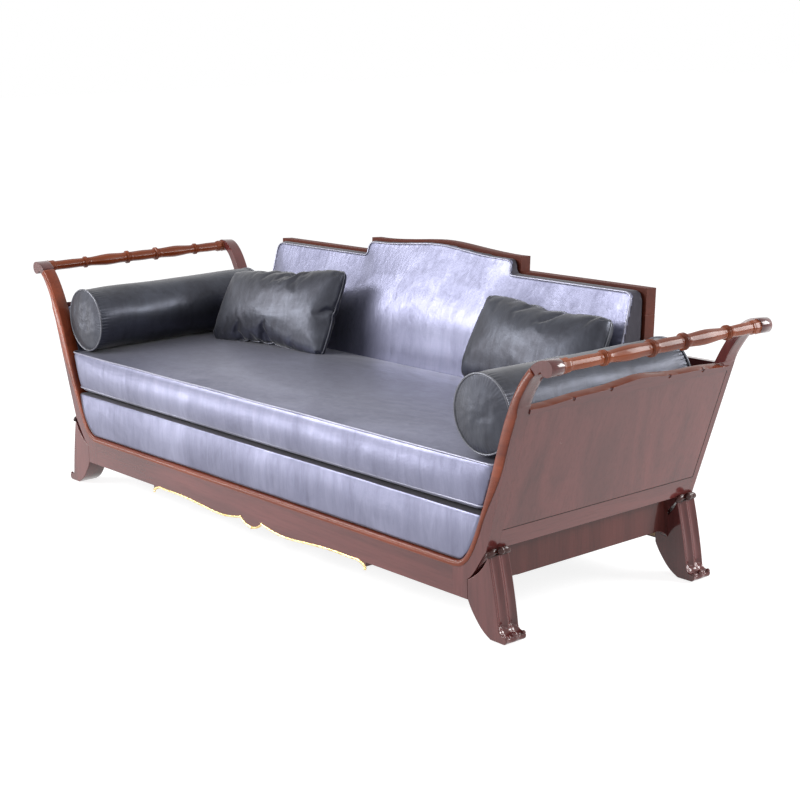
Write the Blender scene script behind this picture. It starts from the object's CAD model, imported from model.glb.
"""Looks of the recamier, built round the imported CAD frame. Metres, in the frame's own axes:
+X to the sitter's left, +Y to the back, +Z up, origin on the floor in the middle."""

import math

import bmesh
import bpy
import numpy as np
from mathutils import Matrix, Vector, noise


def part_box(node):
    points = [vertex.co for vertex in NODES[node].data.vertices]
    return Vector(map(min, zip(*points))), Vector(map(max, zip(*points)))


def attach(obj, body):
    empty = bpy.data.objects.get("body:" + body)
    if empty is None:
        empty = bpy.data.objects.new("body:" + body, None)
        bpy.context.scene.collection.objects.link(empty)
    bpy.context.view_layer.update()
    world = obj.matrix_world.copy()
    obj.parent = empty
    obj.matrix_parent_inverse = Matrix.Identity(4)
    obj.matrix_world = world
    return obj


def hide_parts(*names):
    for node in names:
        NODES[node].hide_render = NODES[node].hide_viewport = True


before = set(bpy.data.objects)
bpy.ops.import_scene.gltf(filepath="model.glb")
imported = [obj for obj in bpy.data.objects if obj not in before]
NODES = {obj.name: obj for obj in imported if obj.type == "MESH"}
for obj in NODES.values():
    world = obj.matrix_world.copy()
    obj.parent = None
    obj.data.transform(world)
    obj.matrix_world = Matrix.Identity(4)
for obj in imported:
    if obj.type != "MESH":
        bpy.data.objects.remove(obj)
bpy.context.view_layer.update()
scene = bpy.context.scene

# ------------------------------------------------------------------ sizes

POST_LOW, POST_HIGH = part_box("front_post_right")
FRONT = POST_LOW.y
BOARD = POST_HIGH.y - POST_LOW.y
RAIL_LOW, RAIL_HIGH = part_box("hand_rail_right")
SCROLL_X = (RAIL_LOW.x + RAIL_HIGH.x) / 2
SCROLL_Z = (RAIL_LOW.z + RAIL_HIGH.z) / 2
SCROLL_R = 0.019
APRON_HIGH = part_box("front_apron")[1]
PIPING_R = 0.0026

# depth over the feet, height of the ends' undersides, and the back's lean from that height
FOOT_DEEP = 0.709
END_Z = 0.212
RAKE = math.radians(3.7)

# the bead on the apron and the posts; it grows wider above a height, over a length of the post
BEAD_TALL = 0.009
BEAD_WIDE = 0.015
BEAD_GROWTH = 0.017
BEAD_SPREAD_Z, BEAD_SPREAD = 0.28, 0.16

# the inner edge of the posts, as shares of the way from the apron's top to the scroll's top
INNER_SHARES = ((0.063, 0.006), (0.194, 0.089), (0.283, 0.207), (0.376, 0.350), (0.494, 0.561),
                (0.570, 0.692), (0.700, 0.853), (0.841, 0.959), (0.925, 0.991))


def spline(knots, count):
    """Points along a smooth curve through the knots (a natural cubic by chord length)."""
    knots = np.array(knots, float)
    at = np.concatenate([[0], np.cumsum(np.linalg.norm(np.diff(knots, axis=0), axis=1))])
    gap = np.diff(at)
    size = len(knots)
    left = np.eye(size)
    right = np.zeros_like(knots)
    for i in range(1, size - 1):
        left[i, i - 1:i + 2] = gap[i - 1], 2 * (gap[i - 1] + gap[i]), gap[i]
        right[i] = 6 * ((knots[i + 1] - knots[i]) / gap[i] - (knots[i] - knots[i - 1]) / gap[i - 1])
    bend = np.linalg.solve(left, right)
    where = np.linspace(0, at[-1], count)
    k = np.clip(np.searchsorted(at, where, side="right") - 1, 0, size - 2)
    h = gap[k][:, None]
    a = (at[k + 1][:, None] - where[:, None]) / h
    b = 1 - a
    return (a * knots[k] + b * knots[k + 1]
            + ((a ** 3 - a) * bend[k] + (b ** 3 - b) * bend[k + 1]) * h * h / 6)


def between(start, end, shares, count):
    """A smooth curve from start to end, through places given as shares of the way."""
    return spline([start + np.array(s) * (end - start) for s in ((0, 0), *shares, (1, 1))], count)


INNER_START = np.array([APRON_HIGH.x, APRON_HIGH.z + BEAD_TALL])
INNER_END = np.array([SCROLL_X, SCROLL_Z + SCROLL_R])
INNER = between(INNER_START, INNER_END, INNER_SHARES, 160)


def inner_x(z):
    """Inner edge of the posts at a height."""
    return float(np.interp(z, INNER[:, 1], INNER[:, 0]))


def raked(points):
    """From the back's own upright plane to the frame."""
    points = np.asarray(points, float)
    rise = points[:, 2] - END_Z
    out = points.copy()
    out[:, 1] = FRONT + FOOT_DEEP + points[:, 1] * math.cos(RAKE) + rise * math.sin(RAKE)
    out[:, 2] = END_Z + rise * math.cos(RAKE) - points[:, 1] * math.sin(RAKE)
    return out


# ------------------------------------------------------------------ mesh helpers


def mesh_piece(name, verts, faces, smooth=True):
    """A new mesh object, with its normals turned outwards and its flat ends cut into triangles."""
    mesh = bpy.data.meshes.new(name)
    mesh.from_pydata([tuple(v) for v in verts], [], [tuple(f) for f in faces])
    work = bmesh.new()
    work.from_mesh(mesh)
    bmesh.ops.remove_doubles(work, verts=work.verts, dist=1e-6)
    bmesh.ops.recalc_face_normals(work, faces=work.faces)
    for face in work.faces:
        face.smooth = smooth and len(face.verts) < 5
    bmesh.ops.triangulate(work, faces=[f for f in work.faces if len(f.verts) > 4])
    work.to_mesh(mesh)
    work.free()
    obj = bpy.data.objects.new(name, mesh)
    scene.collection.objects.link(obj)
    return obj


def grid_faces(rows, columns, wrap, start=0):
    """Quads over rows of points; wrap joins the last column to the first."""
    faces = []
    for i in range(rows - 1):
        for j in range(columns if wrap else columns - 1):
            k = (j + 1) % columns
            a, b = start + i * columns, start + (i + 1) * columns
            faces.append((a + j, a + k, b + k, b + j))
    return faces


def loft(rings, caps=(True, True)):
    """A skin over closed rings of points, with flat ends where asked."""
    rings = np.asarray(rings, float)
    rows, columns = rings.shape[:2]
    faces = grid_faces(rows, columns, True)
    if caps[0]:
        faces.append(tuple(range(columns)))
    if caps[1]:
        faces.append(tuple(range((rows - 1) * columns, rows * columns)))
    return rings.reshape(-1, 3), faces


def several(shapes):
    """One list of points and faces out of several."""
    verts, faces = [], []
    for points, polygons in shapes:
        faces += [tuple(i + len(verts) for i in p) for p in polygons]
        verts += [tuple(p) for p in points]
    return verts, faces


def full_turn(count):
    """Angles all round, evenly spaced."""
    return np.linspace(0, 2 * math.pi, count, endpoint=False)


def ring_at(x, y, z, wide, tall, count):
    """A round or oval ring of points across the Y axis."""
    return [(x + wide * math.cos(a), y, z + tall * math.sin(a)) for a in full_turn(count)]


def ball(centre, radii, rows=12, columns=20):
    """An ellipsoid, as points and faces."""
    rings = [[(math.sin(lat) * math.cos(a) * radii[0], math.sin(lat) * math.sin(a) * radii[1],
               math.cos(lat) * radii[2]) for a in full_turn(columns)]
             for lat in np.linspace(0, math.pi, rows + 1)]
    points, faces = loft(rings, (False, False))
    return points + np.array(centre), faces


def tube(path, radius, sides=10):
    """A round cord along a closed path, as points and faces, carried along without twist."""
    path = np.asarray(path, float)
    ahead = np.roll(path, -1, axis=0) - np.roll(path, 1, axis=0)
    ahead /= np.linalg.norm(ahead, axis=1)[:, None]
    askew = (0.31, 0.27, 0.91)
    side = np.cross(ahead[0], askew)
    rings = []
    for point, way in zip(path, ahead):
        side = side - way * side.dot(way)
        side /= np.linalg.norm(side)
        up = np.cross(way, side)
        rings.append([point + radius * (math.cos(a) * side + math.sin(a) * up)
                      for a in full_turn(sides)])
    return loft(rings + rings[:1], (False, False))


def outward(path, closed=False):
    """Unit directions square to a path in XZ, on the right of its way."""
    ends = np.roll(path, -1, axis=0) - np.roll(path, 1, axis=0)
    along = ends if closed else np.gradient(path, axis=0)
    along = along / np.linalg.norm(along, axis=1)[:, None]
    return np.stack([along[:, 1], -along[:, 0]], axis=1)


def gaps_to(outline, points):
    """How far each point is from the nearest point of an outline, in one plane."""
    return np.array([np.hypot(*(outline - p).T).min() for p in points])


def bell(value, middle, wide):
    """1 at the middle, falling off smoothly on both sides."""
    return np.exp(-((value - middle) / wide) ** 2)


def rim_places(rows, columns):
    """Row and column of each point round the rim of a grid, once round."""
    places = [(0, j) for j in range(columns)] + [(i, columns) for i in range(rows)]
    places += [(rows, j) for j in range(columns, 0, -1)] + [(i, 0) for i in range(rows, 0, -1)]
    return places


def finish_piece(obj, body, slot, material, *nodes):
    """Give a piece its material, its body, its record slot and the nodes that it stands for."""
    if material is not None:
        obj.data.materials.clear()
        obj.data.materials.append(material)
    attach(obj, body)
    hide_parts(*nodes)


def two_tone(obj, main, other, chosen):
    """Give the chosen faces the second material and all the rest the first one."""
    obj.data.materials.append(main)
    obj.data.materials.append(other)
    obj.data.polygons.foreach_set("material_index", [int(c) for c in chosen])


def points_of(obj):
    """The places of a mesh's vertices."""
    flat = np.empty(len(obj.data.vertices) * 3)
    obj.data.vertices.foreach_get("co", flat)
    return flat.reshape(-1, 3)


def set_points(obj, points):
    """Move a mesh's vertices."""
    obj.data.vertices.foreach_set("co", np.asarray(points, float).reshape(-1))
    obj.data.update()


def apply_modifiers(obj, even=True):
    """Bake the modifiers into the mesh; an even one is shaded smooth all over."""
    graph = bpy.context.evaluated_depsgraph_get()
    mesh = bpy.data.meshes.new_from_object(obj.evaluated_get(graph))
    old = obj.data
    obj.modifiers.clear()
    obj.data = mesh
    bpy.data.meshes.remove(old)
    if even:
        obj.data.polygons.foreach_set("use_smooth", [True] * len(obj.data.polygons))


def add_modifier(obj, kind, **settings):
    """Add a modifier with its settings."""
    modifier = obj.modifiers.new(kind.lower(), kind)
    for key, value in settings.items():
        setattr(modifier, key, value)


def bake(obj, kind, even=True, **settings):
    """Add one modifier with its settings, and apply it."""
    add_modifier(obj, kind, **settings)
    apply_modifiers(obj, even)


def remesh(obj, size):
    """Even faces all over a closed shape."""
    bake(obj, "REMESH", mode="VOXEL", voxel_size=size)


def smooth(obj, turns):
    """Soften a shape's edges."""
    bake(obj, "SMOOTH", iterations=turns, factor=0.5)


def inflate(obj, held, pressure, cap, tension=15.0, bending=0.5, frames=20):
    """Blow the cover up by cloth simulation; held vertices stay, and none moves past the cap."""
    start = points_of(obj)
    group = obj.vertex_groups.new(name="held")
    group.add([int(i) for i in np.nonzero(held)[0]], 1.0, "REPLACE")
    modifier = obj.modifiers.new("cloth", "CLOTH")
    cloth = modifier.settings
    cloth.quality = 5
    cloth.mass = 0.3
    cloth.use_pressure = True
    cloth.uniform_pressure_force = pressure
    cloth.tension_stiffness = cloth.compression_stiffness = tension
    cloth.shear_stiffness = tension / 3
    cloth.bending_stiffness = bending
    cloth.effector_weights.gravity = 0
    if held.any():
        cloth.vertex_group_mass = "held"
    modifier.point_cache.frame_start = 1
    modifier.point_cache.frame_end = frames
    for number in range(1, frames + 1):
        scene.frame_set(number)
    apply_modifiers(obj)
    scene.frame_set(1)
    moved = points_of(obj) - start
    length = np.linalg.norm(moved, axis=1)
    share = np.minimum(1, cap / np.maximum(length, 1e-9))
    set_points(obj, start + moved * share[:, None])


def ripple(points, scale, seed=0.0):
    """Smooth noise at each point, from about -1 to 1."""
    shift = Vector((seed, seed * 1.7, seed * 0.6))
    return np.array([noise.noise(Vector(p) * scale + shift) for p in points])


def noise_at(x, y, z):
    """Smooth noise at a place."""
    return noise.noise(Vector((x, y, z)))


def round_noise(angle, reach, height):
    """Smooth noise round a circle, which ends a turn as it began."""
    return noise_at(math.cos(angle) * reach, math.sin(angle) * reach, height)


# ------------------------------------------------------------------ materials


def new_node(tree, kind, links=None, **values):
    """A node; links feed its inputs, values set its inputs or its properties."""
    made = tree.nodes.new(kind)
    for key, value in values.items():
        if key in made.inputs:
            made.inputs[key].default_value = value
        else:
            setattr(made, key, value)
    for key, source in (links or {}).items():
        tree.links.new(source, made.inputs[key])
    return made


class Shader:
    """A material with one Principled shader, and short ways to add nodes to it."""

    def __init__(self, name, **constants):
        self.material = bpy.data.materials.new(name)
        self.material.use_nodes = True
        self.tree = self.material.node_tree
        self.shader = self.tree.nodes["Principled BSDF"]
        for key, value in constants.items():
            self.shader.inputs[key.replace("_", " ")].default_value = value
        self.place = self.node("ShaderNodeTexCoord").outputs["Object"]

    def node(self, kind, links=None, **values):
        return new_node(self.tree, kind, links, **values)

    def stretched(self, scale):
        """The place in the frame, scaled along each axis."""
        return self.node("ShaderNodeMapping", {"Vector": self.place}, Scale=scale).outputs["Vector"]

    def drawn_out(self, axis, share):
        """The place in the frame, drawn out along one axis."""
        scale = [1.0, 1.0, 1.0]
        scale[axis] = share
        return self.stretched(scale)

    def noise(self, scale, place=None, detail=4.0, rough=0.55, distortion=0.0):
        return self.node("ShaderNodeTexNoise", {"Vector": place or self.place}, Scale=scale,
                         Detail=detail, Roughness=rough, Distortion=distortion).outputs["Fac"]

    def ramp(self, fac, stops):
        made = self.node("ShaderNodeValToRGB", {"Fac": fac})
        elements = made.color_ramp.elements
        while len(elements) < len(stops):
            elements.new(0.5)
        for element, (at, colour) in zip(elements, stops):
            element.position = at
            element.color = (*colour, 1)
        return made.outputs["Color"]

    def spread(self, fac, low, high):
        """The middle of a factor's range, from 0.25 to 0.75, turned to low to high."""
        ends = {"From Min": 0.25, "From Max": 0.75, "To Min": low, "To Max": high}
        return self.node("ShaderNodeMapRange", {"Value": fac}, **ends).outputs["Result"]

    def mixed(self, fac, a, b, blend="MIX"):
        made = self.node("ShaderNodeMix", data_type="RGBA", blend_type=blend)
        for index, source in ((0, fac), (6, a), (7, b)):
            if isinstance(source, (int, float)):
                made.inputs[index].default_value = source
            elif isinstance(source, tuple):
                made.inputs[index].default_value = (*source, 1)
            else:
                self.tree.links.new(source, made.inputs[index])
        return made.outputs[2]

    def bump(self, height, strength, distance, below=None):
        links = {"Height": height, "Normal": below} if below else {"Height": height}
        return self.node("ShaderNodeBump", links, Strength=strength,
                         Distance=distance).outputs["Normal"]

    def feed(self, **sources):
        for key, source in sources.items():
            self.tree.links.new(source, self.shader.inputs[key.replace("_", " ")])
        return self.material


def mahogany(name, grain, dark=(0.082, 0.019, 0.018), light=(0.165, 0.042, 0.039), rough=0.16,
             coat=0.8, edge=None):
    """Polished mahogany; grain is the axis its fibres follow: 0, 1 or 2. Upper faces take the
    edge colour where there is one."""
    s = Shader(name, Coat_Weight=coat, Coat_Roughness=0.05, IOR=1.5, Specular_IOR_Level=0.18)
    fibres = s.drawn_out(grain, 0.07)
    figure = s.noise(9.0, fibres, detail=5.0, distortion=1.4)
    fine = s.noise(170.0, fibres, detail=3.0, rough=0.7)
    cloud = s.noise(2.3, detail=2.0)
    wood = s.ramp(figure, [(0.28, dark), (0.50, tuple((a + b) / 2 for a, b in zip(dark, light))),
                           (0.74, light)])
    pores = s.ramp(fine, [(0.36, (0.62, 0.56, 0.54)), (0.52, (1, 1, 1))])
    wood = s.mixed(0.40, wood, pores, "MULTIPLY")
    shade = s.ramp(cloud, [(0.3, (0.86, 0.84, 0.86)), (0.7, (1.08, 1.05, 1.02))])
    wood = s.mixed(1.0, wood, shade, "MULTIPLY")
    if edge is not None:
        normal = s.node("ShaderNodeTexCoord").outputs["Normal"]
        height = s.node("ShaderNodeSeparateXYZ", {"Vector": normal}).outputs["Z"]
        upward = s.ramp(height, [(0.45, (0, 0, 0)), (0.80, (1, 1, 1))])
        wood = s.mixed(upward, wood, s.mixed(figure, tuple(c * 0.6 for c in edge), edge))
        s.feed(Coat_Weight=s.spread(upward, coat, 0.05))
    wear = s.spread(s.noise(14.0), rough, rough + 0.12)
    relief = s.bump(fine, 0.03, 0.0002, s.bump(cloud, 0.10, 0.003))
    return s.feed(Base_Color=wood, Roughness=wear, Normal=relief)


def satin(name, dark, light, rough=0.38, metallic=0.68, flow=(1, 1, 1), streak=0.5):
    """Silk satin: cloudy brushed colour, long soft streaks and a very fine weave."""
    s = Shader(name, Metallic=metallic, Sheen_Weight=0.25, Sheen_Roughness=0.35, IOR=1.45)
    clouds = s.noise(4.2, s.stretched(flow), detail=6.0, rough=0.62, distortion=0.9)
    brushed = s.noise(26.0, s.stretched((flow[0] * 1.6, flow[1] * 1.6, flow[2] * 0.4)),
                      detail=5.0, rough=0.6, distortion=0.6)
    cloudy = s.mixed(0.35, clouds, brushed)
    colour = s.ramp(cloudy, [(0.30, dark), (0.70, light)])
    threads = s.node("ShaderNodeTexWave", {"Vector": s.place}, Scale=520.0, Distortion=0.8,
                     bands_direction="DIAGONAL").outputs["Fac"]
    weave = s.bump(threads, 0.05, 0.0002)
    relief = s.bump(brushed, streak, 0.0016, s.bump(clouds, 0.35, 0.006, weave))
    sheen = s.spread(cloudy, rough + 0.07, rough - 0.07)
    return s.feed(Base_Color=colour, Roughness=sheen, Normal=relief)


def woven(name, dark, light, count, rough=0.8):
    """Plain coarse weave: jute webbing or black calico."""
    s = Shader(name, Specular_IOR_Level=0.25)
    warp, weft = (s.node("ShaderNodeTexWave", {"Vector": s.place}, Scale=count, Distortion=0.6,
                         bands_direction=axis).outputs["Fac"] for axis in "XY")
    cross = s.mixed(0.5, warp, weft)
    colour = s.mixed(0.3, s.ramp(cross, [(0.2, dark), (0.8, light)]),
                     s.ramp(s.noise(40.0), [(0.3, dark), (0.7, light)]))
    return s.feed(Base_Color=colour, Roughness=s.spread(s.noise(60.0), rough - 0.1, rough + 0.1),
                  Normal=s.bump(cross, 0.5, 0.0006))


def metal(name, dark, light, rough, scale=60.0):
    """Metal or gold leaf with a worn, uneven surface."""
    s = Shader(name, Metallic=0.9)
    patches = s.noise(scale, detail=5.0, rough=0.65)
    colour = s.ramp(patches, [(0.32, dark), (0.58, light)])
    return s.feed(Base_Color=colour, Roughness=s.spread(patches, rough + 0.15, rough - 0.05),
                  Normal=s.bump(patches, 0.35, 0.0006))


def plain_wood(name, grain):
    """Unpolished beech of the hidden frame."""
    s = Shader(name, Specular_IOR_Level=0.3)
    fibres = s.noise(40.0, s.drawn_out(grain, 0.08), detail=4.0)
    colour = s.ramp(fibres, [(0.3, (0.42, 0.28, 0.16)), (0.7, (0.62, 0.45, 0.29))])
    return s.feed(Base_Color=colour, Roughness=s.spread(fibres, 0.55, 0.7),
                  Normal=s.bump(fibres, 0.3, 0.0005))


def plastic(name, colour):
    """Dull moulded plastic."""
    s = Shader(name, Specular_IOR_Level=0.4)
    grain = s.noise(900.0, detail=2.0)
    base = s.mixed(s.noise(30.0), colour, tuple(c * 1.4 for c in colour))
    return s.feed(Base_Color=base, Roughness=s.spread(grain, 0.35, 0.55),
                  Normal=s.bump(grain, 0.15, 0.0002))


WOOD = [mahogany("mahogany_" + axis, k) for k, axis in enumerate("xyz")]
FRAME_WOOD = [plain_wood("beech_" + axis, k) for k, axis in enumerate("xyz")]
WARM = mahogany("warm_mahogany", 0, (0.130, 0.024, 0.010), (0.290, 0.064, 0.024), 0.24, 0.20)
RAIL_WOOD = mahogany("rail_mahogany", 1, (0.110, 0.018, 0.006), (0.420, 0.098, 0.022), 0.24, 0.16)
BACK_WOOD = mahogany("back_mahogany", 0, (0.055, 0.011, 0.006), (0.125, 0.028, 0.015), 0.50, 0.0)
APRON_WOOD = mahogany("apron_mahogany", 2, (0.052, 0.012, 0.010), (0.118, 0.029, 0.024), 0.16, 0.45)
CAP_WOOD = mahogany("cap_mahogany", 1, edge=(0.200, 0.040, 0.014))
DEEP = mahogany("deep_mahogany", 1, (0.020, 0.006, 0.005), (0.055, 0.014, 0.011), 0.16, 0.30)
JOINT = mahogany("joint_mahogany", 1, (0.008, 0.004, 0.003), (0.020, 0.008, 0.006), 0.60, 0.0)
SILVER = satin("silver_satin", (0.115, 0.117, 0.180), (0.27, 0.275, 0.385), flow=(1, 1, 0.8))
SILVER_TOP = satin("silver_satin_top", (0.100, 0.102, 0.160), (0.225, 0.230, 0.330),
                   flow=(0.6, 1.1, 1), streak=0.35)
SLATE = satin("slate_satin", (0.022, 0.021, 0.028), (0.074, 0.080, 0.101), rough=0.40,
              flow=(1, 0.7, 1))
BORDER = satin("border_satin", (0.030, 0.026, 0.036), (0.070, 0.064, 0.084), 0.65, 0.10)
PIPING = satin("piping_satin", (0.20, 0.20, 0.26), (0.36, 0.36, 0.44), rough=0.34)
DARK_PIPING = satin("dark_piping", (0.07, 0.07, 0.085), (0.18, 0.185, 0.21), rough=0.32)
GILT = metal("gilding", (0.52, 0.34, 0.12), (0.90, 0.72, 0.36), 0.22)
STEEL = metal("steel", (0.36, 0.36, 0.37), (0.58, 0.58, 0.59), 0.3)
JUTE = woven("jute", (0.30, 0.22, 0.12), (0.55, 0.43, 0.26), 300.0)
CALICO = woven("calico", (0.012, 0.012, 0.014), (0.035, 0.035, 0.040), 420.0)
GLIDE = plastic("glide", (0.03, 0.027, 0.024))


# ------------------------------------------------------------------ timber that the CAD shows


def dress(names, material, bevel=0.0):
    """Give CAD nodes a material and, where asked, softly rounded arrises."""
    for name in names:
        obj = NODES[name]
        obj.data.materials.clear()
        obj.data.materials.append(material)
        if bevel:
            add_modifier(obj, "WELD", merge_threshold=0.00001)
            add_modifier(obj, "BEVEL", width=bevel, segments=2, limit_method="ANGLE",
                         angle_limit=math.radians(35), harden_normals=True)


def both(*names):
    """The names of the left and right nodes of each kind."""
    return [name + side for name in names for side in ("_left", "_right")]


def dress_timber():
    """Materials and arrises of the nodes that stay as the CAD has them."""
    broad, fine = 0.0012, 0.0008
    dress(["front_apron", "rear_apron", "rear_board"], WOOD[0], broad)
    dress(["back_crest"] + both("back_stile"), BACK_WOOD, broad)
    dress(both("front_post", "rear_post", "end_panel"), WOOD[2], broad)
    dress(both("end_rail"), WOOD[1], fine)
    dress(both("end_apron"), APRON_WOOD, broad)
    dress(both("end_cap"), CAP_WOOD, 0.0010)
    dress(["seat_rail_front", "seat_rail_rear", "back_middle_rail"], FRAME_WOOD[0])
    dress(both("seat_rail"), FRAME_WOOD[1])
    dress(["corner_blocks"], FRAME_WOOD[2])
    dress(["seat_webbing", "back_webbing"], JUTE)
    dress(["spring_cover"], CALICO)
    dress(["seat_springs", "block_screws"], STEEL)
    dress(["foot_glides"], GLIDE)


def post_width():
    """Width of the right post's front face at each point of its inner edge, up to the scroll."""
    flat, inner_gap = 0.0005, 0.014
    points = np.array([v.co for v in NODES["front_post_right"].data.vertices])
    face = points[(points[:, 1] < FRONT + flat) & (points[:, 2] > END_Z)][:, (0, 2)]
    outer = face[gaps_to(INNER, face) > inner_gap]
    outer = outer[np.argsort(outer[:, 1])]
    heights = np.linspace(outer[0, 1], outer[-1, 1], 400)
    outer = np.stack([np.interp(heights, outer[:, 1], outer[:, 0]), heights], axis=1)
    return gaps_to(outer, INNER)


def clamp(value):
    """The value, kept from 0 to 1."""
    return min(1.0, max(0.0, value))


def smoothstep(value):
    """0 below 0, 1 above 1, smooth between."""
    value = np.clip(value, 0, 1)
    return value * value * (3 - 2 * value)


def front_bead():
    """Rounded moulding along the apron's top and up both posts, whose fronts it takes over."""
    margin, sink, steps = 0.001, 0.0002, 16
    arris, deep, back, turn = 0.0035, 0.0085, BOARD - 0.0005, 0.0015
    low_proud, proud_share = 0.0032, 0.05
    end = int(np.searchsorted(INNER[:, 1], SCROLL_Z - 0.004)) + 1
    right, away = INNER[:end], outward(INNER[:end])
    grown = BEAD_WIDE + BEAD_GROWTH * smoothstep((right[:, 1] - BEAD_SPREAD_Z) / BEAD_SPREAD)
    wide = np.minimum(post_width()[:end] - margin, grown)
    apron = np.linspace(-INNER_START[0], INNER_START[0], 40)[1:-1]
    path = [((-x, z), (-ax, az), w) for (x, z), (ax, az), w in zip(right, away, wide)][::-1]
    path += [((x, INNER_START[1]), (0, -1), BEAD_WIDE) for x in apron]
    path += list(zip(right, away, wide))
    rings = []
    for (x, z), (ax, az), w in path:
        proud = low_proud + proud_share * (w - BEAD_WIDE)
        ring = []
        for share in np.linspace(0, 1, steps + 1):
            phi = math.pi * share
            bow = proud * math.sin(phi) ** 0.8
            ring.append((w * (1 - math.cos(phi)) / 2, arris * (1 - share) ** 2 - bow + sink))
        inside = min(w, deep)
        ring += [(inside, 0.006), (inside, back), (turn, back), (0, back - turn)]
        rings.append([(x + ax * n, FRONT + y, z + az * n) for n, y in ring])
    bead = mesh_piece("front_bead", *loft(rings))
    finish_piece(bead, "frame", "mahogany", WARM, "front_moulding")


def joint_lines():
    """Fine dark joints round each end panel: above the rail and beside the rear post."""
    half_wide, sunk, proud = 0.0009, 0.0004, 0.0002
    box_faces = [(0, 1, 3, 2), (4, 5, 7, 6), (0, 1, 5, 4), (2, 3, 7, 6), (0, 2, 6, 4), (1, 3, 7, 5)]
    low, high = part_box("end_panel_right")
    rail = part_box("end_rail_right")[1]
    foot = np.array([rail.x, 0, low.z])
    rise = np.array([high.x, 0, high.z - 0.0054]) - foot
    up = rise / np.linalg.norm(rise)
    out = np.array([up[2], 0, -up[0]])
    front, corner = np.array([0, low.y, 0]), np.array([0, rail.y, 0])
    rear_top = rise + (0, high.y - 0.0005, 0)
    for side, sign in (("right", 1), ("left", -1)):
        shapes = []
        for ends, across in (((front, corner), up), ((corner, rear_top), np.array([0, 1, 0]))):
            corners = [foot + end + out * lift + across * step for end in ends
                       for lift in (-sunk, proud) for step in (-half_wide, half_wide)]
            shapes.append((np.array(corners) * (sign, 1, 1), box_faces))
        line = mesh_piece("panel_joint_" + side, *several(shapes), False)
        finish_piece(line, "frame", "mahogany", JOINT)


def smooth_steps(at, stops):
    """Value at a place, eased between stops of (place, value)."""
    places, values = zip(*stops)
    k = int(np.clip(np.searchsorted(places, at, side="right") - 1, 0, len(stops) - 2))
    share = smoothstep((at - places[k]) / (places[k + 1] - places[k]))
    return values[k] + share * (values[k + 1] - values[k])


def hand_rail(side):
    """Turned rail like a bamboo cane: eight-sided collars, swelling lengths and double rings."""
    low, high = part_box("hand_rail_" + side)
    x, z = (low.x + high.x) / 2, (low.z + high.z) / 2
    long = high.y - low.y
    collar, half, foot = 0.026, 0.0050, 0.007
    swells = ((0.125, 0.0150), (0.33, 0.0184), (0.52, 0.0168), (0.71, 0.0184), (0.91, 0.0150))
    rings = ((0.205, 0.0182, 0.0140), (0.437, 0.0208, 0.0158), (0.60, 0.0208, 0.0158),
             (0.83, 0.0182, 0.0140))
    end = [(0, 0.0172), (0.002, 0.0190), (0.005, 0.0190), (0.007, 0.0176),
           (collar - 0.004, 0.0182), (collar, 0.0168), (collar + 0.004, 0.0146)]
    stops = end + [(long - at, radius) for at, radius in end]
    stops += [(share * long, radius) for share, radius in swells]
    for share, radius, neck in rings:
        stops.append((share * long, radius - 0.0024))
        for off, r in ((half + foot, neck), (half, neck - 0.0012), (half * 0.6, radius),
                       (half * 0.15, radius - 0.0004)):
            stops += [(share * long - off, r), (share * long + off, r)]
    stops.sort()
    evenly = np.linspace(0, long, 260)
    places = sorted(set(np.round(np.concatenate([evenly, [at for at, _ in stops]]), 5)))
    eighth, flat = math.pi / 8, 0.924
    rows = []
    for at in places:
        radius = smooth_steps(at, stops)
        near = min(abs(at - ring[0] * long) for ring in rings)
        facets = 0.055 if near > 0.016 else 0.0
        if at < collar or at > long - collar:
            facets = 0.080
        row = []
        for angle in full_turn(48):
            off = (angle + eighth) % (2 * eighth) - eighth
            r = radius * (1 - facets * (1 - flat / math.cos(eighth - abs(off))) / (1 - flat))
            row.append((x + r * math.cos(angle), low.y + at, z + r * math.sin(angle)))
        rows.append(row)
    rail = mesh_piece("turned_hand_rail_" + side, *loft(rows))
    finish_piece(rail, "frame", "mahogany", RAIL_WOOD, "hand_rail_" + side)


# ------------------------------------------------------------------ legs and capitals

# the right front leg: its depth, and the places on its outline in XZ
LEG_DEEP = 0.064
SHOULDER = np.array([0.952, 0.205])
WEDGE_TIP = np.array([0.879, 0.131])
TOE_R = 0.009
TOE_X = 1.008
GLIDE_TALL = 0.003
ANKLE = np.array([0.984, 0.032])
CALF = np.array([0.9705, 0.1185])
HEEL = np.array([0.955, GLIDE_TALL])
NOTCH = np.array([0.879, 0.082])
CAPITAL_Z = 0.2105


def arc(start, middle, end, count):
    """Points on the circle through three points, from the start past the middle to the end."""
    a, b, c = (complex(*p) for p in (start, middle, end))
    lean = (c - a) / (b - a)
    centre = a + (b - a) * (lean - abs(lean) ** 2) / (2j * lean.imag)
    turn = np.angle((b - centre) / (a - centre)) + np.angle((c - centre) / (b - centre))
    points = centre + (a - centre) * np.exp(1j * np.linspace(0, turn, count))
    return np.stack([points.real, points.imag], axis=1)


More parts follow.
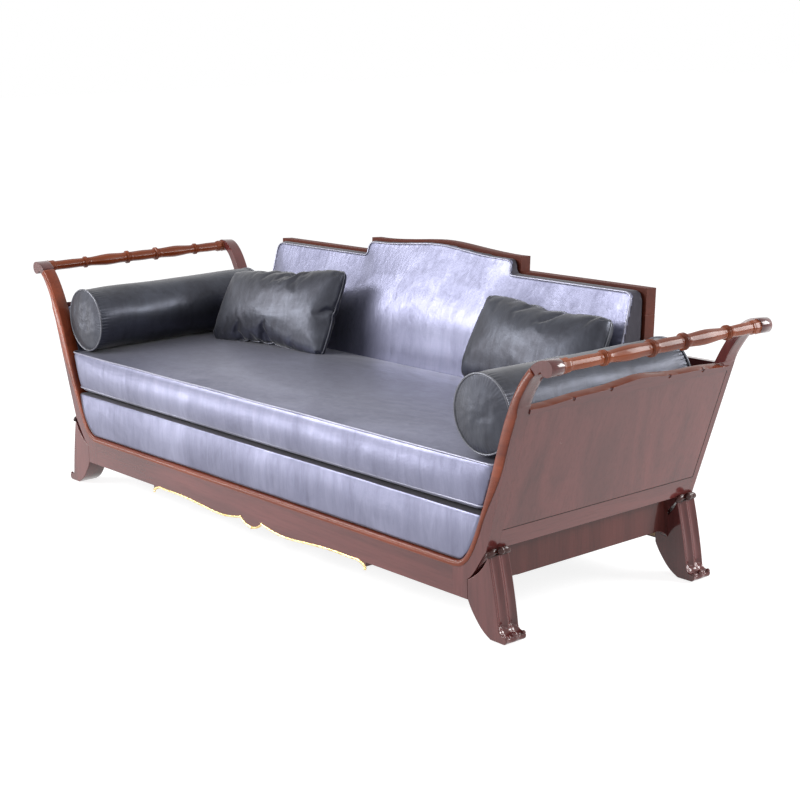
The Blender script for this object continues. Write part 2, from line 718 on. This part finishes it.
def leg_outline():
    """Outline of the right front leg in XZ, and how many of its first points are carved."""
    outer = arc(SHOULDER, CALF, ANKLE, 44)
    toe_top = np.array([TOE_X - TOE_R, GLIDE_TALL + 2 * TOE_R])
    toe_end = np.array([TOE_X - TOE_R, GLIDE_TALL])
    instep = arc(ANKLE, ANKLE * (0.7, 0.3) + toe_top * (0.3, 0.7), toe_top, 10)[1:]
    toe = arc(toe_top, (TOE_X, GLIDE_TALL + TOE_R), toe_end, 12)[1:]
    sole = np.linspace(toe_end, HEEL, 6)[1:]
    inside = between(HEEL, NOTCH, ((0.382, 0.22), (0.671, 0.512), (0.908, 0.829)), 24)[1:]
    notch = np.linspace(NOTCH, WEDGE_TIP, 5)[1:]
    top = between(WEDGE_TIP, SHOULDER, ((0.438, 0.284), (0.808, 0.676)), 16)[1:-1]
    outline = np.concatenate([outer, instep, toe, sole, inside, notch, top])
    return outline, len(outer) + len(instep) + len(toe) + 1


def leg_skin():
    """Right front leg, from Y = 0 at its front face: two flutes end in pits above a carved toe."""
    chamfer, flute_deep, pit_deep, lip_high = 0.0018, 0.0064, 0.0045, 0.0040
    outline, carved = leg_outline()
    away = -outward(outline, closed=True)
    edges = (0, 0.0004, 0.0012, 0.0024)
    stations = [*edges, *np.linspace(0.004, LEG_DEEP - 0.004, 33), *(LEG_DEEP - e for e in edges[::-1])]
    rings = []
    for y in stations:
        row = outline - away * chamfer * (1 - clamp(min(y, LEG_DEEP - y) / chamfer)) ** 2
        across = abs(y - LEG_DEEP / 2) / (LEG_DEEP / 2)
        hollow = clamp((across - 0.045) / 0.875)
        beside = bell(across, 0.50, 0.28)
        lobe = math.cos(math.pi * 2 * across) * 0.5 + 0.5
        for i in range(carved):
            z = outline[i][1]
            run = clamp((z - 0.030) / 0.010) * min(1.0, (0.2035 - z) / 0.004 + 0.4)
            flute = flute_deep * 4 * hollow * (1 - hollow) * max(0.0, run)
            pit = pit_deep * bell(z, 0.037, 0.009) * beside
            lip = lip_high * (lobe - 0.5) * bell(z, 0.0175, 0.009)
            row[i] += away[i] * (lip - flute - pit)
        rings.append([(x, y, z) for x, z in row])
    tall = GLIDE_TALL + 0.0180
    knobs = [ball((TOE_X - 0.0050, LEG_DEEP / 2, tall), (0.0078, 0.0080, 0.0072))]
    knobs += [ball((TOE_X - 0.0030, y, tall), (0.0056, 0.0044, 0.0050))
              for y in (0.0048, LEG_DEEP - 0.0048)]
    knobs += [ball((TOE_X - 0.0085, LEG_DEEP * share, tall - 0.0040), (0.0060, 0.0088, 0.0050))
              for share in (0.27, 0.73)]
    return several([loft(rings)] + knobs)


def leg_block():
    """The leg's upper block, let in behind the post's foot."""
    let_in, foot_x = 0.006, 0.945
    slope = np.linspace(WEDGE_TIP, SHOULDER, 12)
    outline = np.concatenate([slope, [(foot_x, END_Z)], [(WEDGE_TIP[0], END_Z)]])
    return loft([[(x, y, z) for x, z in outline] for y in (let_in, LEG_DEEP)])


def capital():
    """Two dark curled lobes with a bright pearl between them, on top of the leg's outer face."""
    overhang = 0.0070
    rings = []
    for t in np.linspace(0, 1, 57):
        across = abs(t - 0.5) * 2
        radius = 0.0042 + 0.0030 * math.sin(math.pi * clamp((across - 0.12) / 0.88))
        if across > 0.82:
            radius *= math.sqrt(max(0.0, 1 - ((across - 0.82) / 0.18) ** 2))
        y = -overhang + t * (LEG_DEEP + 2 * overhang)
        rings.append(ring_at(0, y, -0.0060 * across ** 2, radius, radius * 1.25, 24))
    pearl = ball((0.0085, LEG_DEEP / 2, 0.0018), (0.0092, 0.0105, 0.0098), 16, 28)
    collar = loft([ring_at(0.0005, y, -0.0098, 0.0026, 0.0022, 12)
                   for y in np.linspace(0.001, LEG_DEEP - 0.001, 20)])
    points, faces = several([loft(rings), pearl, collar])
    return np.array(points) + (SHOULDER[0], 0, CAPITAL_Z), faces


def place_legs():
    """Four legs with their capitals, all from the shapes of the right front one."""
    shapes = {"carved_": several([leg_skin(), leg_block()]), "capital_": capital()}
    for end in ("front", "rear"):
        for side in ("right", "left"):
            name = f"{end}_leg_{side}"
            for kind, (points, faces) in shapes.items():
                placed = np.array(points)
                if end == "rear":
                    placed[:, 1] = FOOT_DEEP - placed[:, 1]
                if side == "left":
                    placed[:, 0] *= -1
                placed[:, 1] += FRONT
                obj = mesh_piece(kind + name, placed, faces)
                if kind == "carved_":
                    bake(obj, "EDGE_SPLIT", even=False, split_angle=math.radians(50))
                    finish_piece(obj, "frame", "mahogany", WOOD[2], name)
                else:
                    finish_piece(obj, "frame", "mahogany", DEEP, "leg_capitals")


def gilt_line():
    """Gilt fillet along the apron's shaped lower edge, thicker at its curled ends and lobe."""
    half, low, tall = 0.500, 0.061, 0.005
    cusp = np.array([0.050, 0.080])
    shares = ((0.05, 0.80), (0.13, 0.93), (0.24, 0.96), (0.43, 0.78), (0.60, 0.38), (0.77, 0.08),
              (0.90, 0.42))
    ogee = between(np.array([half, low + tall]), cusp, shares, 70)
    lobe = arc(cusp, (0, low), cusp * (-1, 1), 17)[1:-1]
    path = np.concatenate([ogee, lobe, ogee[::-1] * (-1, 1)])
    away = outward(path)
    rings = []
    for i, ((x, z), (ax, az)) in enumerate(zip(path, away)):
        near = min(i, len(path) - 1 - i)
        thick = 0.0026 + 0.0014 * math.exp(-(near / 5) ** 2) + 0.0008 * math.sin(i * 0.9) ** 2
        rings.append([(x + ax * thick * math.cos(a), FRONT - 0.0004 - 0.0022 * math.sin(a),
                       z + tall / 2 + az * thick * math.cos(a)) for a in full_turn(10)])
    curls = [ball((0, FRONT - 0.0006, low + tall * 0.4), (0.0065, 0.0030, 0.0045))]
    for x in (-1, 1):
        curls.append(ball((x * (half - 0.003), FRONT - 0.0006, low + tall * 0.9),
                          (0.0055, 0.0028, 0.0045)))
        curls.append(ball((x * cusp[0], FRONT - 0.0004, cusp[1] + tall / 2),
                          (0.0040, 0.0026, 0.0040)))
    line = mesh_piece("gilt_line", *several([loft(rings)] + curls))
    finish_piece(line, "frame", "gilding", GILT, "gilt_fillet")


# ------------------------------------------------------------------ fixed upholstery


def platform():
    """Sprung platform: a padded front with a rolled top edge, between the posts."""
    low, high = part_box("platform_pad")
    bottom, top = low.z + 0.0005, high.z - 0.007
    roll, bulge, soft_deep = 0.0075, 0.0055, 0.03
    front = low.y + 0.001
    profile = [(front + 0.010, bottom)]
    for t in np.linspace(0.02, 1, 22):
        profile.append((front - bulge * math.sin(math.pi * min(1, t * 0.9 + 0.05)),
                        bottom + t * (top - roll - bottom)))
    start = profile[-1][0]
    for angle in np.linspace(0, math.pi / 2, 9)[1:]:
        profile.append((start + roll * (1 - math.cos(angle)), top - roll + roll * math.sin(angle)))
    profile += [(y, top - 0.001) for y in np.linspace(start + roll + 0.02, high.y - 0.01, 12)]
    profile += [(high.y - 0.002, top - 0.012), (high.y, top - 0.03), (high.y, bottom)]
    rings = [[(t * (inner_x(z) - 0.0008), y, z) for y, z in profile] for t in np.linspace(-1, 1, 151)]
    pad = mesh_piece("platform_cover", *loft(rings))
    points = points_of(pad)
    flat = points * (1, 0, 1)
    soft = ripple(flat, 9.0, 3.1) * 0.0014 + ripple(flat, 2.5, 8.2) * 0.002
    points[:, 1] -= soft * np.clip((front + soft_deep - points[:, 1]) / soft_deep, 0, 1)
    set_points(pad, points)
    two_tone(pad, SILVER, BORDER, [p.center.z > top - 0.0022 for p in pad.data.polygons])
    finish_piece(pad, "frame", "silver_satin", None, "platform_pad")


def rounded(corners, radii, counts, steps=6):
    """A closed outline through rounded corners; each side is cut into a count of lengths."""
    corners = [np.array(c, float) for c in corners]
    outline = []
    for i, corner in enumerate(corners):
        k = (i + 1) % len(corners)
        before, after = corners[i - 1], corners[k]
        back = (before - corner) / np.linalg.norm(before - corner)
        ahead = (after - corner) / np.linalg.norm(after - corner)
        start, end = corner + back * radii[i], corner + ahead * radii[i]
        if radii[i] > 0:
            for t in np.linspace(0, 1, steps + 1):
                outline.append((1 - t) ** 2 * start + 2 * t * (1 - t) * corner + t * t * end)
        else:
            outline.append(corner)
        rest = after + (corner - after) / np.linalg.norm(corner - after) * radii[k]
        for t in np.linspace(0, 1, counts[i] + 1)[1:-1]:
            outline.append(end + t * (rest - end))
    return np.array(outline)


# the back pad in the back's own plane: half widths, heights, the arch, and the faces' places in Y
PAD_HALF, PAD_TIER, PAD_LOW = 0.785, 0.714, 0.304
CREST_HALF, CREST, CREST_RISE = 0.3225, 0.754, 0.017
ARCH_SHARES = ((0, 0), (0.14, 0.09), (0.30, 0.53), (0.50, 1.0), (0.70, 0.53), (0.86, 0.09), (1, 0))
PAD_BACK, PAD_TOP_DEEP, PAD_SLOPE = -0.0388, 0.064, 0.24
TIER_Z = 0.718


def pad_front(z):
    """Front face of the back pad, in the back's own plane."""
    return -PAD_TOP_DEEP - (TIER_Z - z) * PAD_SLOPE


def pad_outline(inset, taper):
    """Outline of the back pad in XZ: two tiers and an arch, with rounded corners. A taper of 1 is
    its front edge, which is narrower and lower than its back."""
    half, low = PAD_HALF - inset - 0.014 * taper, PAD_LOW + inset
    tier = PAD_TIER - inset - 0.005 * taper
    crest_half, crest = CREST_HALF - inset - 0.008 * taper, CREST - inset - 0.005 * taper
    knots = [(crest_half - a * 2 * crest_half, crest + b * CREST_RISE) for a, b in ARCH_SHARES]
    arch = spline(knots, 15)
    corners = [(half, low), (half, tier), (crest_half, tier)] + [tuple(p) for p in arch]
    corners += [(-crest_half, tier), (-half, tier), (-half, low)]
    radii = [0.012, 0.026, 0.013, 0.022] + [0.0] * 13 + [0.022, 0.013, 0.026, 0.012]
    return rounded(corners, radii, [20, 23, 2] + [2] * 14 + [2, 23, 20, 78])


def back_pad():
    """Boxed back pad: pale face, dark border, piping round the front edge."""
    belly_z, belly_tall, full_from = 0.555, 0.095, 0.09
    rings = []
    for share in (0, 0.35, 0.7, 1):
        rings.append([(x, (pad_front(z) + 0.002) * share + PAD_BACK * (1 - share), z)
                      for x, z in pad_outline(0.001, share)])
    pad = mesh_piece("back_pad", *loft(rings))
    remesh(pad, 0.0055)
    points = points_of(pad)
    face = points[:, 1] < pad_front(points[:, 2]) + 0.0045
    rim = gaps_to(pad_outline(0.004, 1), points[:, (0, 2)])
    inflate(pad, ~face | (rim < 0.008), 3.2, 0.026)
    moved = points_of(pad)
    full = np.clip(rim / full_from, 0, 1)
    belly = bell(moved[:, 2], belly_z, belly_tall)
    moved[:, 1] -= np.where(face, (0.004 + 0.016 * belly) * full ** 0.7, 0)
    moved[:, 1] += np.where(face, ripple(moved * (1, 0, 1), 3.0, 5.5) * 0.0025 * full, 0)
    centres = np.array([points[list(p.vertices)].mean(axis=0) for p in pad.data.polygons])
    two_tone(pad, SILVER, BORDER, centres[:, 1] >= pad_front(centres[:, 2]) + 0.0048)
    set_points(pad, raked(moved))
    smooth(pad, 2)
    finish_piece(pad, "frame", "silver_satin", None, "back_pad_face", "back_pad_border")

    cord = raked([(x, pad_front(z) + 0.0010, z) for x, z in pad_outline(0.0030, 1)])
    piping = mesh_piece("back_pad_cord", *tube(cord, PIPING_R))
    finish_piece(piping, "frame", "piping", PIPING, "back_pad_piping")


def soft_panel(name, node, material, slot):
    """A thin padded panel in place of a CAD one, with rounded edges."""
    panel = bpy.data.objects.new(name, NODES[node].data.copy())
    scene.collection.objects.link(panel)
    remesh(panel, 0.005)
    smooth(panel, 4)
    finish_piece(panel, "frame", slot, material, node)


def dust_cover():
    """Black cloth stretched under the seat, sagging a little between the rails."""
    low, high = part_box("dust_cover")
    wide, long = high.x - low.x, high.y - low.y
    rows, columns = 40, 80
    sag, thick, uneven = 0.004, 0.0012, 0.0008
    verts = []
    for level in (0, thick):
        for i in range(rows + 1):
            for j in range(columns + 1):
                u, v = j / columns, i / rows
                x, y = low.x + u * wide, low.y + v * long
                fall = sag * (math.sin(math.pi * u) * math.sin(math.pi * v)) ** 0.5
                wave = uneven * noise_at(x * 9, y * 9, 0)
                verts.append((x, y, low.z + level - fall + wave))
    count = (rows + 1) * (columns + 1)
    faces = grid_faces(rows + 1, columns + 1, False)
    faces += [tuple(reversed(f)) for f in grid_faces(rows + 1, columns + 1, False, count)]
    rim = [i * (columns + 1) + j for i, j in rim_places(rows, columns)]
    faces += [(a, b, b + count, a + count) for a, b in zip(rim, rim[1:] + rim[:1])]
    cloth = mesh_piece("under_cloth", verts, faces)
    finish_piece(cloth, "frame", "calico", CALICO, "dust_cover")


# ------------------------------------------------------------------ loose pieces

# the seat cushion's gap to the ends, and half the width between its ears
CUSHION_GAP = 0.005
NOTCH_HALF = 0.793
BOLSTER_SEED = {"left": 4.0, "right": 11.0}


def cushion_outline(z, inset):
    """Plan of the seat cushion at a height: it has an ear at each side of the back pad."""
    low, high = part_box("seat_cushion_cover")
    half = inner_x(z) - CUSHION_GAP - inset
    rise = z - END_Z
    pad_y = FRONT + FOOT_DEEP + rise * math.sin(RAKE) + pad_front(z) * math.cos(RAKE)
    notch_x, notch_y = NOTCH_HALF + inset, pad_y - 0.008 - inset
    y0, y1 = low.y + inset, high.y - inset
    corners = [(-half, y0), (half, y0), (half, y1), (notch_x, y1), (notch_x, notch_y),
               (-notch_x, notch_y), (-notch_x, y1), (-half, y1)]
    return rounded(corners, (0.020, 0.020, 0.016, 0.016, 0.006, 0.006, 0.016, 0.016),
                   (90, 34, 8, 8, 80, 8, 8, 34))


def seat_cushion():
    """Boxed and crowned seat cushion with piping along both edges of its boxing."""
    low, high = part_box("seat_cushion_cover")
    bottom, edge_z = low.z + 0.0005, 0.417
    crown, rear_rise, bulge, blend, front_deep = 0.027, 0.009, 0.011, 0.010, 0.020
    levels = [bottom, bottom + 0.008] + list(np.linspace(bottom + 0.02, edge_z - 0.012, 6))
    levels += [edge_z - 0.004, edge_z]
    insets = [0.010, 0.003] + [0.0015] * 6 + [0.002, 0.004]
    rings = [[(x, y, z) for x, y in cushion_outline(z, inset)] for z, inset in zip(levels, insets)]
    cushion = mesh_piece("seat_cushion", *loft(rings))
    remesh(cushion, 0.0065)
    points = points_of(cushion)
    half = inner_x(edge_z) - CUSHION_GAP
    u = np.clip(np.abs(points[:, 0]) / half, 0, 1)
    v = np.clip((points[:, 1] - low.y) / (high.y - low.y), 0, 1)
    on_top = np.clip((points[:, 2] - (edge_z - blend)) / blend, 0, 1)
    across = 1 - u ** 5
    rear = rear_rise / crown
    deep = np.interp(v, (0, 0.06, 0.14, 0.26, 0.40, 0.52, 0.64, 0.76, 0.86, 1),
                     (0, 0.30, 0.60, 0.88, 1.0, 0.92, 0.74, 0.50, rear, rear))
    points[:, 2] += on_top * across * deep * crown
    points[:, 2] += on_top * ripple(points * (1, 1, 0), 3.2, 2.4) * 0.0025 * across * deep
    rise = np.clip((points[:, 2] - bottom) / (edge_z - bottom), 0, 1)
    facing = np.clip((low.y + front_deep - points[:, 1]) / front_deep, 0, 1)
    points[:, 1] -= facing * np.sin(math.pi * rise) ** 0.7 * bulge * (1 - u ** 8)
    set_points(cushion, points)
    near = gaps_to(cushion_outline(edge_z, 0.004), points[:, :2])
    seam = (points[:, 2] > edge_z - 0.006) & (near < 0.009)
    inflate(cushion, seam | (points[:, 2] < bottom + 0.020), 3.0, 0.007)
    smooth(cushion, 2)
    two_tone(cushion, SILVER, SILVER_TOP, [p.normal.z > 0.5 and p.center.z > edge_z - 0.002
                                           for p in cushion.data.polygons])
    finish_piece(cushion, "seat_cushion", "silver_satin", None, "seat_cushion_cover",
                 "seat_cushion_core")

    cords = []
    for z, inset in ((edge_z + 0.0005, 0.0028), (bottom + 0.0125, 0.0008)):
        path = [(x, y, z + 0.0012 * noise_at(x * 5, y * 5, z)) for x, y in cushion_outline(z, inset)]
        cords.append(tube(path, PIPING_R))
    piping = mesh_piece("seat_cushion_cord", *several(cords))
    finish_piece(piping, "seat_cushion", "piping", PIPING, "seat_cushion_piping")


def bolster(side):
    """Round bolster: pleats gathered behind each piped ring, and domed, gathered ends."""
    low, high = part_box("bolster_cover_" + side)
    centre_x, centre_z = (low.x + high.x) / 2, (low.z + high.z) / 2
    radius = (high.x - low.x) / 2 - 0.001
    start, end = low.y + 0.004, high.y - 0.004
    seed = BOLSTER_SEED[side]
    rows, cap_rows, dome = 130, 26, 0.013
    angles = full_turn(300)

    def pleats(angle, strength):
        """Uneven gathers round the ring at an angle."""
        wave = math.sin(angle * 58 + 3 * round_noise(angle, 2, seed))
        uneven = 0.45 + 0.55 * round_noise(angle, 5, seed + 3)
        return strength * (wave * 0.5 - 0.5) * max(0.1, uneven)

    def cap_out(angle, share):
        """How far the end stands out: a soft dome with dents, and short gathers at its rim."""
        dents = 0.0028 * round_noise(angle, share * 2.1, seed + 5)
        dents += 0.0014 * round_noise(angle, share * 2.1 * 2.6, (seed + 5) * 2.6)
        gathers = pleats(angle, 0.0022) * share ** 9 * (1 - share ** 24)
        return (dome + dents) * (1 - share ** 2.2) + gathers

    def cap(y, way):
        """Rings of (radius, y, angle) from an end's middle to its rim."""
        return [[(share * radius, y + way * cap_out(a, share), a) for a in angles]
                for share in np.linspace(1 / cap_rows, 1, cap_rows)]

    rings = cap(start, -1)
    for y in np.linspace(start, end, rows + 1)[1:-1]:
        near = min(y - start, end - y)
        gather = math.exp(-near / 0.013) * (1 - math.exp(-near / 0.0025))
        swell = 0.0016 * (1 - math.exp(-near / 0.03))
        rings.append([(radius + swell + 0.0030 * round_noise(a, 1.3, y * 8 + seed)
                       + pleats(a, 0.0060) * gather, y, a) for a in angles])
    rings += cap(end, 1)[::-1]
    cover = mesh_piece("bolster_" + side, *loft([
        [(centre_x + r * math.cos(a), y, centre_z + r * math.sin(a)) for r, y, a in ring]
        for ring in rings]))
    points = points_of(cover)
    floor = centre_z - radius + 0.003
    points[:, 2] -= np.minimum(points[:, 2] - floor, 0) * 0.7
    set_points(cover, points)
    finish_piece(cover, "bolster_" + side, "grey_satin", SLATE, "bolster_cover_" + side,
                 "bolster_core_" + side)
    around = radius + 0.001
    cords = [tube(ring_at(centre_x, y, centre_z, around, around, 100), PIPING_R)
             for y in (start, end)]
    piping = mesh_piece("bolster_cord_" + side, *several(cords))
    finish_piece(piping, "bolster_" + side, "piping", DARK_PIPING, "bolster_piping_" + side)


# extra size before blowing up; turn, lean and roll in degrees; slump of the upper corner on the
# -X side; how far the pillow settles
PILLOW_GROW = 0.026
PILLOW_SEED = {"left": 2.0, "right": 9.0}
PILLOW_TURNS = {"left": (5.0, -27.0, -1.0), "right": (0.0, -27.0, 3.0)}
PILLOW_SLUMP = {"left": (0.004, 0.004, -0.030), "right": (0.006, 0.0, -0.006)}
PILLOW_SHIFT = {"left": (0.0, 0.0, -0.007), "right": (0.014, 0.0, -0.004)}


def pillow_sheets(w, h, thick, seed):
    """Two sheets sewn round an edge that bows out: points, faces and the seam's points in turn."""
    corner, bow, cell = 0.026, 0.045, 0.0065
    nx, nz = int(w / cell), int(h / cell)
    verts, faces, index = [], [], {}
    for sheet in (-1, 1):
        for i in range(nz + 1):
            for j in range(nx + 1):
                u, v = j / nx * 2 - 1, i / nz * 2 - 1
                rim = i in (0, nz) or j in (0, nx)
                if rim and sheet == 1:
                    index[sheet, i, j] = index[-1, i, j]
                    continue
                x, z = u * w / 2, v * h / 2
                over_x, over_z = abs(x) - (w / 2 - corner), abs(z) - (h / 2 - corner)
                if over_x > 0 and over_z > 0:
                    shrink = max(over_x, over_z) / math.hypot(over_x, over_z)
                    x = math.copysign(w / 2 - corner + over_x * shrink, x)
                    z = math.copysign(h / 2 - corner + over_z * shrink, z)
                x, z = x * (1 + bow * 0.5 * (1 - v * v)), z * (1 + bow * (1 - u * u))
                lift = thick / 2 * 0.55 * (1 - u ** 4) ** 0.5 * (1 - v ** 4) ** 0.5
                y = sheet * (0.0015 + lift) + 0.002 * noise_at(x * 30, z * 30, seed + sheet)
                index[sheet, i, j] = len(verts)
                verts.append((x, 0 if rim else y, z))
        for i in range(nz):
            for j in range(nx):
                quad = [index[sheet, row, column] for row, column in
                        ((i, j), (i, j + 1), (i + 1, j + 1), (i + 1, j))]
                faces.append(quad[::-sheet])
    return verts, faces, [index[-1, i, j] for i, j in rim_places(nz, nx)]


def pillow(side):
    """Scatter pillow: two sheets sewn round their edge and blown up, then leant on the back."""
    turn, lean, roll = (math.radians(a) for a in PILLOW_TURNS[side])
    pose = (Matrix.Rotation(turn, 3, "Z") @ Matrix.Rotation(lean, 3, "X")
            @ Matrix.Rotation(roll, 3, "Y"))
    node = np.array([v.co for v in NODES["pillow_cover_" + side].data.vertices]) @ np.array(pose)
    low, high = node.min(axis=0), node.max(axis=0)
    centre = pose @ Vector((low + high) / 2)
    wide, thick, tall = high - low
    w, h = wide + PILLOW_GROW, tall + PILLOW_GROW
    seed = PILLOW_SEED[side]
    verts, faces, seam = pillow_sheets(w, h, thick, seed)
    cover = mesh_piece("pillow_" + side, verts, faces)
    inflate(cover, np.zeros(len(cover.data.vertices), bool), 9.0, 0.06, tension=22.0,
            bending=0.15, frames=28)
    points = points_of(cover)
    size = points.max(axis=0) - points.min(axis=0)
    flat = min(1.0, thick * 1.02 / size[1])
    points *= (wide * 1.03 / size[0], flat, tall * 1.05 / size[2])
    near = ((points[:, 0] / wide * 2 + 1) ** 2 + (points[:, 2] / tall * 2 - 1) ** 2) / 0.55
    points += np.outer(np.exp(-near), PILLOW_SLUMP[side]) + PILLOW_SHIFT[side]
    path = points[seam]
    rim = (np.roll(path, 1, axis=0) + path * 2 + np.roll(path, -1, axis=0)) / 4
    gaps = gaps_to(rim[:, (0, 2)], points[:, (0, 2)])
    around = np.arctan2(points[:, 2] / h, points[:, 0] / w)
    puckers = np.array([math.sin(a * 52 + 3 * noise_at(a * 3, 0, seed))
                        * max(0.0, round_noise(a, 2, seed + 7)) for a in around])
    fading = np.exp(-gaps / 0.022) * (gaps > 0.002)
    points[:, 1] += np.sign(points[:, 1]) * 0.0035 * puckers * fading
    place = np.array(pose).T
    set_points(cover, points @ place + np.array(centre))
    bake(cover, "SUBSURF", levels=1, render_levels=1)
    finish_piece(cover, "pillow_" + side, "grey_satin", SLATE, "pillow_cover_" + side,
                 "pillow_core_" + side)
    cord = mesh_piece("pillow_cord_" + side, *tube(rim @ place + np.array(centre), 0.0018, 8))
    finish_piece(cord, "pillow_" + side, "grey_satin", DARK_PIPING)


# ------------------------------------------------------------------ stage, light and camera


def background_rays(tree):
    """A factor of 1 for the rays that see the background: camera, glossy and transmission rays."""
    rays = new_node(tree, "ShaderNodeLightPath").outputs
    seen = rays["Is Camera Ray"]
    for kind in ("Is Glossy Ray", "Is Transmission Ray"):
        larger = new_node(tree, "ShaderNodeMath", {0: seen, 1: rays[kind]}, operation="MAXIMUM")
        seen = larger.outputs[0]
    return seen


def two_faced(tree, output, plain, seen):
    """Feed an output with a plain shader for light rays and another one for what is seen."""
    mix = new_node(tree, "ShaderNodeMixShader", {0: background_rays(tree), 1: plain.outputs[0],
                                                 2: seen.outputs[0]})
    new_node(tree, output, {"Surface": mix.outputs[0]})


def set_stage():
    """White floor: what sees it sees white with the object's shadow, what it lights stays plain."""
    reach = 30
    corners = [(x * reach, y * reach, 0) for x, y in ((-1, -1), (1, -1), (1, 1), (-1, 1))]
    floor = mesh_piece("floor", corners, [(0, 1, 2, 3)], False)
    paint = bpy.data.materials.new("floor")
    paint.use_nodes = True
    tree = paint.node_tree
    tree.nodes.clear()
    plain = new_node(tree, "ShaderNodeBsdfDiffuse", Color=(0.75, 0.75, 0.76, 1))
    glow = new_node(tree, "ShaderNodeEmission", Strength=0.86)
    shadow = new_node(tree, "ShaderNodeBsdfDiffuse", Color=(0.40, 0.40, 0.40, 1))
    pale = new_node(tree, "ShaderNodeAddShader", {0: glow.outputs[0], 1: shadow.outputs[0]})
    two_faced(tree, "ShaderNodeOutputMaterial", plain, pale)
    floor.data.materials.append(paint)


def set_world():
    """White where it is seen or mirrored, a plain soft light elsewhere."""
    world = bpy.data.worlds.new("studio")
    scene.world = world
    world.use_nodes = True
    tree = world.node_tree
    tree.nodes.clear()
    soft = new_node(tree, "ShaderNodeBackground", Color=(0.95, 0.96, 1.0, 1), Strength=0.40)
    white = new_node(tree, "ShaderNodeBackground", Color=(1, 1, 1, 1))
    two_faced(tree, "ShaderNodeOutputWorld", soft, white)


def softbox(name, place, aim, wide, tall, power):
    """A rectangular lamp at a place, turned to what it aims at; its power is in watts."""
    data = bpy.data.lights.new(name, "AREA")
    data.shape = "RECTANGLE"
    data.size, data.size_y = wide, tall
    data.energy = power
    lamp = bpy.data.objects.new(name, data)
    scene.collection.objects.link(lamp)
    lamp.location = place
    lamp.rotation_euler = (Vector(aim) - Vector(place)).to_track_quat("-Z", "Y").to_euler()


def set_lights():
    softbox("front_left", (-2.5, -3.25, 2.45), (0, 0, 0.5), 3.2, 1.1, 165)
    softbox("front_low", (-2.9, -3.0, 0.17), (0, 0, 0.3), 2.6, 0.3, 30)
    softbox("front", (0.6, -4.2, 2.0), (-0.3, 0, 0.4), 1.4, 0.9, 14)
    softbox("over", (0.4, -0.6, 3.2), (0, 0, 0.3), 1.8, 1.2, 8)
    softbox("right", (3.6, -0.6, 1.9), (0.9, 0, 0.4), 1.0, 1.4, 7)
    softbox("rear_right", (2.6, 2.6, 1.8), (-0.3, 0, 0.4), 2.0, 1.4, 115)


# heading, tilt and roll in degrees, focal length in millimetres
CAMERA_PLACE = (3.6455, -2.8294, 1.3918)
CAMERA_YAW, CAMERA_PITCH, CAMERA_ROLL = 50.5985, 12.6799, -1.3766
CAMERA_LENS = 75.507


def set_camera():
    """The camera of the main view: its place, its heading and its long lens."""
    yaw, pitch, roll = (math.radians(a) for a in (CAMERA_YAW, CAMERA_PITCH, CAMERA_ROLL))
    ahead = Vector((-math.sin(yaw) * math.cos(pitch), math.cos(yaw) * math.cos(pitch),
                    -math.sin(pitch)))
    right = Vector((math.cos(yaw), math.sin(yaw), 0))
    up = right.cross(ahead)
    x = math.cos(roll) * right + math.sin(roll) * up
    y = -math.sin(roll) * right + math.cos(roll) * up
    data = bpy.data.cameras.new("camera")
    data.sensor_fit = "HORIZONTAL"
    data.sensor_width = 36
    data.lens = CAMERA_LENS
    camera = bpy.data.objects.new("camera", data)
    scene.collection.objects.link(camera)
    turn = Matrix((x, y, -ahead)).transposed().to_4x4()
    camera.matrix_world = Matrix.Translation(CAMERA_PLACE) @ turn
    scene.camera = camera


# ------------------------------------------------------------------ build

scene.view_settings.view_transform = "Standard"
dress_timber()
front_bead()
for end in ("left", "right"):
    hand_rail(end)
joint_lines()
place_legs()
gilt_line()
platform()
back_pad()
for end in ("left", "right"):
    soft_panel("end_lining_pad_" + end, "end_lining_" + end, SILVER, "silver_satin")
soft_panel("outside_back", "back_panel", SLATE, "grey_satin")
dust_cover()
seat_cushion()
for end in ("left", "right"):
    bolster(end)
    pillow(end)
set_stage()
set_world()
set_lights()
set_camera()
